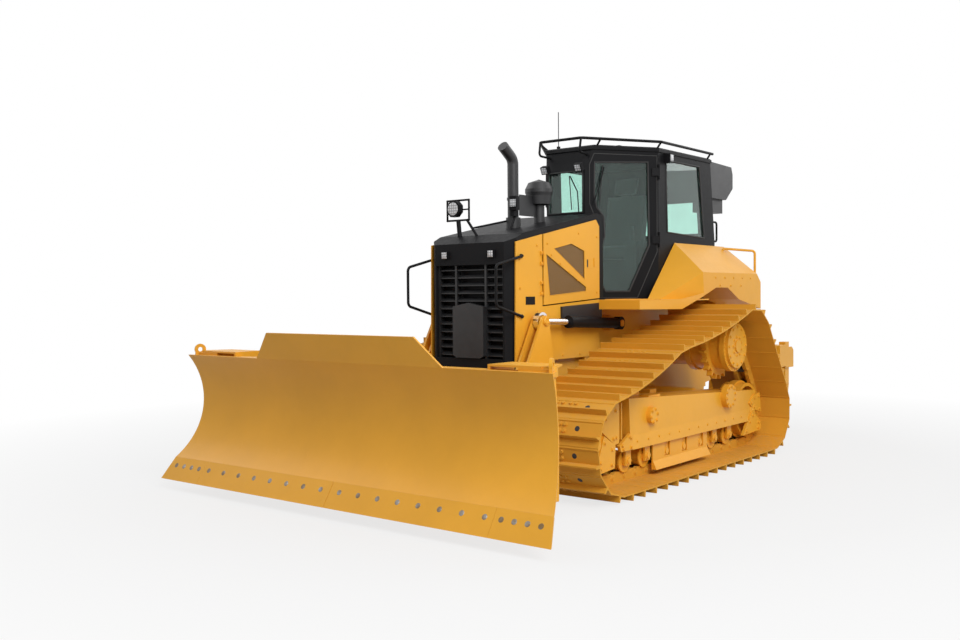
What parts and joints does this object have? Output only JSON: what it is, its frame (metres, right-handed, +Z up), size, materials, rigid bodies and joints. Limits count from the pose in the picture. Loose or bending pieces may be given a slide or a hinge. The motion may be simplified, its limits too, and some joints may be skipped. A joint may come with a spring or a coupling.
{
  "type": "bulldozer",
  "caption": "Wide-track crawler dozer with an angling, tilting push blade on a C-frame, a glazed cab and a rear parallelogram ripper.",
  "frame": {"origin": "on the ground under the middle of the machine, between the cutting edge and the ripper", "axes": "+X forward towards the blade, +Y to the machine's left, +Z up"},
  "size_m": [6.658, 4.08, 3.47],
  "materials": {
    "yellow_paint": "semi gloss",
    "black_paint": "satin",
    "glass": "tinted",
    "chrome": "polished",
    "plastic": "moulded",
    "fabric": "woven",
    "iron": "rough"
  },
  "bodies": {
    "tractor": {"air_precleaner": "black_paint", "cab_consoles": "plastic", "cab_glass": "glass", "cab_roof": "black_paint", "cab_shell": "black_paint", "engine_block": "iron", "exhaust_stack": "black_paint", "fender_left": "yellow_paint", "fender_right": "yellow_paint", "final_drives": "yellow_paint", "hood": "black_paint", "hood_fittings": "black_paint", "idlers": "yellow_paint", "main_frame": "yellow_paint", "nose_rails": "black_paint", "radiator_grille": "black_paint", "radiator_housing": "black_paint", "rear_air_unit": "black_paint", "rear_rails": "yellow_paint", "rear_tank": "yellow_paint", "rollers": "yellow_paint", "roof_rails": "black_paint", "seat": "fabric", "side_boxes": "black_paint", "side_panels": "yellow_paint", "track_frames": "yellow_paint", "track_left": "yellow_paint", "track_right": "yellow_paint", "work_lamps": "plastic"},
    "engine_door_left": {"engine_door_left": "yellow_paint"},
    "engine_door_right": {"engine_door_right": "yellow_paint"},
    "cab_door_left": {"cab_door_left": "black_paint", "door_glass_left": "glass"},
    "cab_door_right": {"cab_door_right": "black_paint", "door_glass_right": "glass"},
    "push_frame": {"push_frame": "yellow_paint"},
    "blade_swivel": {"blade_swivel": "yellow_paint"},
    "blade": {"blade": "yellow_paint", "cutting_edges": "yellow_paint"},
    "lift_barrel_left": {"lift_barrel_left": "black_paint"},
    "lift_rod_left": {"lift_rod_left": "chrome"},
    "lift_barrel_right": {"lift_barrel_right": "black_paint"},
    "lift_rod_right": {"lift_rod_right": "chrome"},
    "angle_trunnion_left": {"angle_trunnion_left": "yellow_paint"},
    "angle_barrel_left": {"angle_barrel_left": "yellow_paint"},
    "angle_rod_left": {"angle_rod_left": "chrome"},
    "angle_trunnion_right": {"angle_trunnion_right": "yellow_paint"},
    "angle_barrel_right": {"angle_barrel_right": "yellow_paint"},
    "angle_rod_right": {"angle_rod_right": "chrome"},
    "tilt_barrel": {"tilt_barrel": "yellow_paint"},
    "tilt_rod": {"tilt_rod": "chrome"},
    "ripper_lower_link": {"ripper_lower_link": "yellow_paint"},
    "ripper_upper_link": {"ripper_upper_link": "yellow_paint"},
    "ripper_beam": {"ripper_beam": "yellow_paint", "ripper_shanks": "yellow_paint"},
    "ripper_barrel": {"ripper_barrel": "yellow_paint"},
    "ripper_rod": {"ripper_rod": "chrome"}
  },
  "joints": [
    {"name": "engine_door_left", "type": "hinge", "parent": "tractor", "child": "engine_door_left", "pos_m": [1.165, 0.489, 1.83], "axis": [0, 0, 1], "range_deg": [-95, 0]},
    {"name": "engine_door_right", "type": "hinge", "parent": "tractor", "child": "engine_door_right", "pos_m": [1.165, -0.489, 1.83], "axis": [0, 0, -1], "range_deg": [-95, 0]},
    {"name": "cab_door_left", "type": "hinge", "parent": "tractor", "child": "cab_door_left", "pos_m": [-0.57748, 0.66681, 2.5], "axis": [0, 0, 1], "range_deg": [0, 78]},
    {"name": "cab_door_right", "type": "hinge", "parent": "tractor", "child": "cab_door_right", "pos_m": [-0.57748, -0.66681, 2.5], "axis": [0, 0, -1], "range_deg": [0, 78]},
    {"name": "blade_lift", "type": "hinge", "parent": "tractor", "child": "push_frame", "pos_m": [-0.2, 0, 0.5], "axis": [0, -1, 0], "range_deg": [-11, 16]},
    {"name": "blade_angle", "type": "hinge", "parent": "push_frame", "child": "blade_swivel", "pos_m": [2.8, 0, 0.48], "axis": [0, 0, 1], "range_deg": [-20, 20]},
    {"name": "blade_tilt", "type": "hinge", "parent": "blade_swivel", "child": "blade", "pos_m": [2.95, 0, 0.48], "axis": [1, 0, 0], "range_deg": [-6, 6]},
    {"name": "lift_barrel_left", "type": "hinge", "parent": "tractor", "child": "lift_barrel_left", "pos_m": [0.03, 0.56, 1.366], "axis": [0, -1, 0], "range_deg": [-14.55, 20.94]},
    {"name": "lift_rod_left", "type": "slide", "parent": "lift_barrel_left", "child": "lift_rod_left", "axis": [0.9993, 0, 0.0386], "range_m": [-0.2381, 0.1643]},
    {"name": "angle_trunnion_left", "type": "hinge", "parent": "push_frame", "child": "angle_trunnion_left", "pos_m": [1.93, 0.48, 0.624], "axis": [0, 0, 1], "range_deg": [-2.81, 2.81]},
    {"name": "angle_barrel_left", "type": "hinge", "parent": "angle_trunnion_left", "child": "angle_barrel_left", "pos_m": [1.93, 0.48, 0.624], "axis": [0.1453, -0.9894, 0], "range_deg": [-4.68, 4.68]},
    {"name": "angle_rod_left", "type": "slide", "parent": "angle_barrel_left", "child": "angle_rod_left", "axis": [0.9894, 0.1453, 0], "range_m": [-0.2102, 0.2102]},
    {"name": "lift_barrel_right", "type": "hinge", "parent": "tractor", "child": "lift_barrel_right", "pos_m": [0.03, -0.56, 1.366], "axis": [0, -1, 0], "range_deg": [-14.55, 20.94]},
    {"name": "lift_rod_right", "type": "slide", "parent": "lift_barrel_right", "child": "lift_rod_right", "axis": [0.9993, 0, 0.0386], "range_m": [-0.2381, 0.1643]},
    {"name": "angle_trunnion_right", "type": "hinge", "parent": "push_frame", "child": "angle_trunnion_right", "pos_m": [1.93, -0.48, 0.624], "axis": [0, 0, 1], "range_deg": [-2.81, 2.81]},
    {"name": "angle_barrel_right", "type": "hinge", "parent": "angle_trunnion_right", "child": "angle_barrel_right", "pos_m": [1.93, -0.48, 0.624], "axis": [-0.1453, -0.9894, 0], "range_deg": [-4.68, 4.68]},
    {"name": "angle_rod_right", "type": "slide", "parent": "angle_barrel_right", "child": "angle_rod_right", "axis": [0.9894, -0.1453, 0], "range_m": [-0.2102, 0.2102]},
    {"name": "tilt_barrel", "type": "hinge", "parent": "blade_swivel", "child": "tilt_barrel", "pos_m": [2.87, 0.08, 0.96], "axis": [1, 0, 0], "range_deg": [-6.06, 6.06]},
    {"name": "tilt_rod", "type": "slide", "parent": "tilt_barrel", "child": "tilt_rod", "axis": [0, -1, 0], "range_m": [-0.0537, 0.0537]},
    {"name": "ripper_lift", "type": "hinge", "parent": "tractor", "child": "ripper_lower_link", "pos_m": [-2.185, 0, 0.64], "axis": [0, 1, 0], "range_deg": [-52, 6]},
    {"name": "ripper_upper", "type": "hinge", "parent": "tractor", "child": "ripper_upper_link", "pos_m": [-2.185, 0, 0.9], "axis": [0, 1, 0], "range_deg": [-52.5, 6.5]},
    {"name": "ripper_beam", "type": "hinge", "parent": "ripper_lower_link", "child": "ripper_beam", "pos_m": [-2.79843, 0, 0.73], "axis": [0, 1, 0], "range_deg": [-6.5, 52.5]},
    {"name": "ripper_barrel", "type": "hinge", "parent": "tractor", "child": "ripper_barrel", "pos_m": [-2.175, 0, 1.29], "axis": [0, 1, 0], "range_deg": [-38.26, 4.86]},
    {"name": "ripper_rod", "type": "slide", "parent": "ripper_barrel", "child": "ripper_rod", "axis": [-0.9777, 0, -0.2099], "range_m": [-0.0184, 0.1445]}
  ],
  "couplings": [
    {"joint": "lift_barrel_left", "follows": "blade_lift", "ratio": 1.2402},
    {"joint": "lift_rod_left", "follows": "blade_lift", "m_per_rad": -0.82087},
    {"joint": "angle_trunnion_left", "follows": "blade_angle", "ratio": 0.11196},
    {"joint": "angle_barrel_left", "follows": "blade_tilt", "ratio": 0.67676},
    {"joint": "angle_rod_left", "follows": "blade_angle", "m_per_rad": -0.5792},
    {"joint": "lift_barrel_right", "follows": "blade_lift", "ratio": 1.2402},
    {"joint": "lift_rod_right", "follows": "blade_lift", "m_per_rad": -0.82087},
    {"joint": "angle_trunnion_right", "follows": "blade_angle", "ratio": 0.11196},
    {"joint": "angle_barrel_right", "follows": "blade_tilt", "ratio": -0.67676},
    {"joint": "angle_rod_right", "follows": "blade_angle", "m_per_rad": 0.5792},
    {"joint": "tilt_barrel", "follows": "blade_tilt", "ratio": 0.90008},
    {"joint": "tilt_rod", "follows": "blade_tilt", "m_per_rad": 0.47959},
    {"joint": "ripper_upper", "follows": "ripper_lift", "ratio": 1},
    {"joint": "ripper_beam", "follows": "ripper_lift", "ratio": -1},
    {"joint": "ripper_barrel", "follows": "ripper_lift", "ratio": 0.70503},
    {"joint": "ripper_rod", "follows": "ripper_lift", "m_per_rad": -0.15246}
  ]
}
